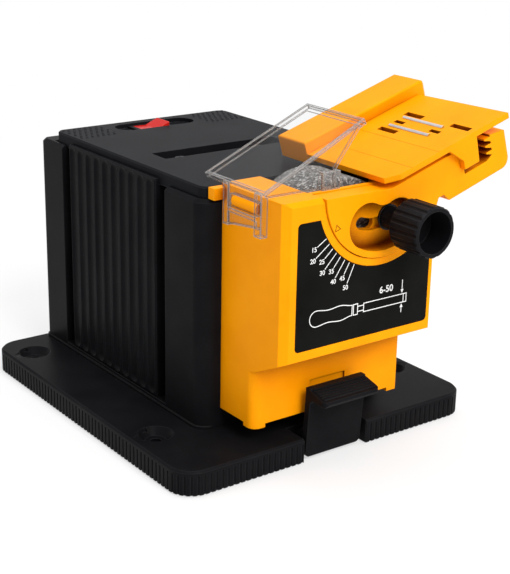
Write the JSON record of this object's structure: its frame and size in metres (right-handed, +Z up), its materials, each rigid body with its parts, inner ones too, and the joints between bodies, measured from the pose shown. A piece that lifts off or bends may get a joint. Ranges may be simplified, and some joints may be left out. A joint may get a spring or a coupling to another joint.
{
  "type": "bench sharpener",
  "caption": "Mains bench sharpener: ribbed black motor housing on a bolt-down base, yellow head with clear guard and a tilting, clamped tool rest over a grinding wheel.",
  "frame": {"origin": "centre of the four bolt holes of the base, on the plane that the feet stand on", "axes": "+X to the right seen from the front, +Y to the back, +Z up"},
  "size_m": [0.2171, 0.28, 0.2029],
  "materials": {
    "black_plastic": "fine satin moulding",
    "dark_grey_plastic": "fine-textured moulding",
    "yellow_plastic": "satin moulding",
    "clear_plastic": "clear polished moulding",
    "red_plastic": "polished moulding",
    "label_film": "printed film, white scale and pictogram",
    "steel": "bright zinc or turned steel",
    "motor_steel": "zinc-plated pressed steel",
    "brass": "turned brass",
    "copper": "enamelled copper wire and copper segments",
    "ferrite": "sintered ferrite",
    "abrasive": "bonded aluminium oxide grit, grey and speckled",
    "rubber": "soft black rubber",
    "carbon": "pressed carbon",
    "board": "printed circuit board",
    "white_plastic": "moulded nylon"
  },
  "bodies": {
    "chassis": {"base_plate": "black_plastic", "rubber_feet": "rubber", "base_screws": "steel", "housing_shell": "black_plastic", "left_ribbed_panel": "black_plastic", "right_ribbed_panel": "black_plastic", "top_cover": "dark_grey_plastic", "top_cover_screws": "steel", "switch_bezel": "black_plastic", "switch_body": "black_plastic", "switch_terminals": "brass", "cord_gland": "black_plastic", "gland_nut": "black_plastic", "motor_cradle": "black_plastic", "cradle_screws": "steel", "motor_straps": "motor_steel", "strap_screws": "steel", "motor_can": "motor_steel", "motor_end_cap": "white_plastic", "motor_magnets": "ferrite", "front_bearing": "steel", "rear_bearing": "steel", "brush_holders": "brass", "carbon_brushes": "carbon", "rectifier_board": "board", "rectifier_parts": "black_plastic", "board_screws": "steel", "latch_pin": "steel", "latch_spring": "steel", "head_shell": "yellow_plastic", "scale_label": "label_film", "spark_guard": "clear_plastic", "clamp_stud": "steel"},
    "rotor": {"motor_shaft": "steel", "armature_core": "steel", "armature_windings": "copper", "commutator": "copper", "cooling_fan": "white_plastic", "grinding_wheel": "abrasive", "inner_flange": "steel", "outer_flange": "steel", "wheel_nut": "steel"},
    "rocker": {"switch_rocker": "red_plastic"},
    "latch": {"latch_lever": "black_plastic"},
    "table": {"tilt_frame": "yellow_plastic"},
    "rest": {"rest_plate": "yellow_plastic", "rest_rods": "steel"},
    "knob": {"clamp_knob": "black_plastic", "knob_insert": "brass", "clamp_washer": "steel"}
  },
  "joints": [
    {"name": "wheel_spin", "type": "hinge", "parent": "chassis", "child": "rotor", "pos_m": [0, -0.1, 0.124], "axis": [0, 1, 0], "continuous": true},
    {"name": "switch_rock", "type": "hinge", "parent": "chassis", "child": "rocker", "pos_m": [0, 0.071, 0.156], "axis": [0, 1, 0], "range_deg": [0, 22]},
    {"name": "latch_press", "type": "hinge", "parent": "chassis", "child": "latch", "pos_m": [0, -0.119, 0.007], "axis": [1, 0, 0], "range_deg": [0, 10], "stiffness_Nm_per_rad": 0.3, "springref_deg": -11.46},
    {"name": "table_tilt", "type": "hinge", "parent": "chassis", "child": "table", "pos_m": [0.0141, -0.14, 0.1644], "axis": [0, -1, 0], "range_deg": [0, 40]},
    {"name": "rest_height", "type": "slide", "parent": "table", "child": "rest", "axis": [-0.3007, 0, 0.9537], "range_m": [0, 0.004]},
    {"name": "knob_turn", "type": "hinge", "parent": "chassis", "child": "knob", "pos_m": [0.02489, -0.16, 0.14275], "axis": [0, 1, 0], "continuous": true}
  ]
}
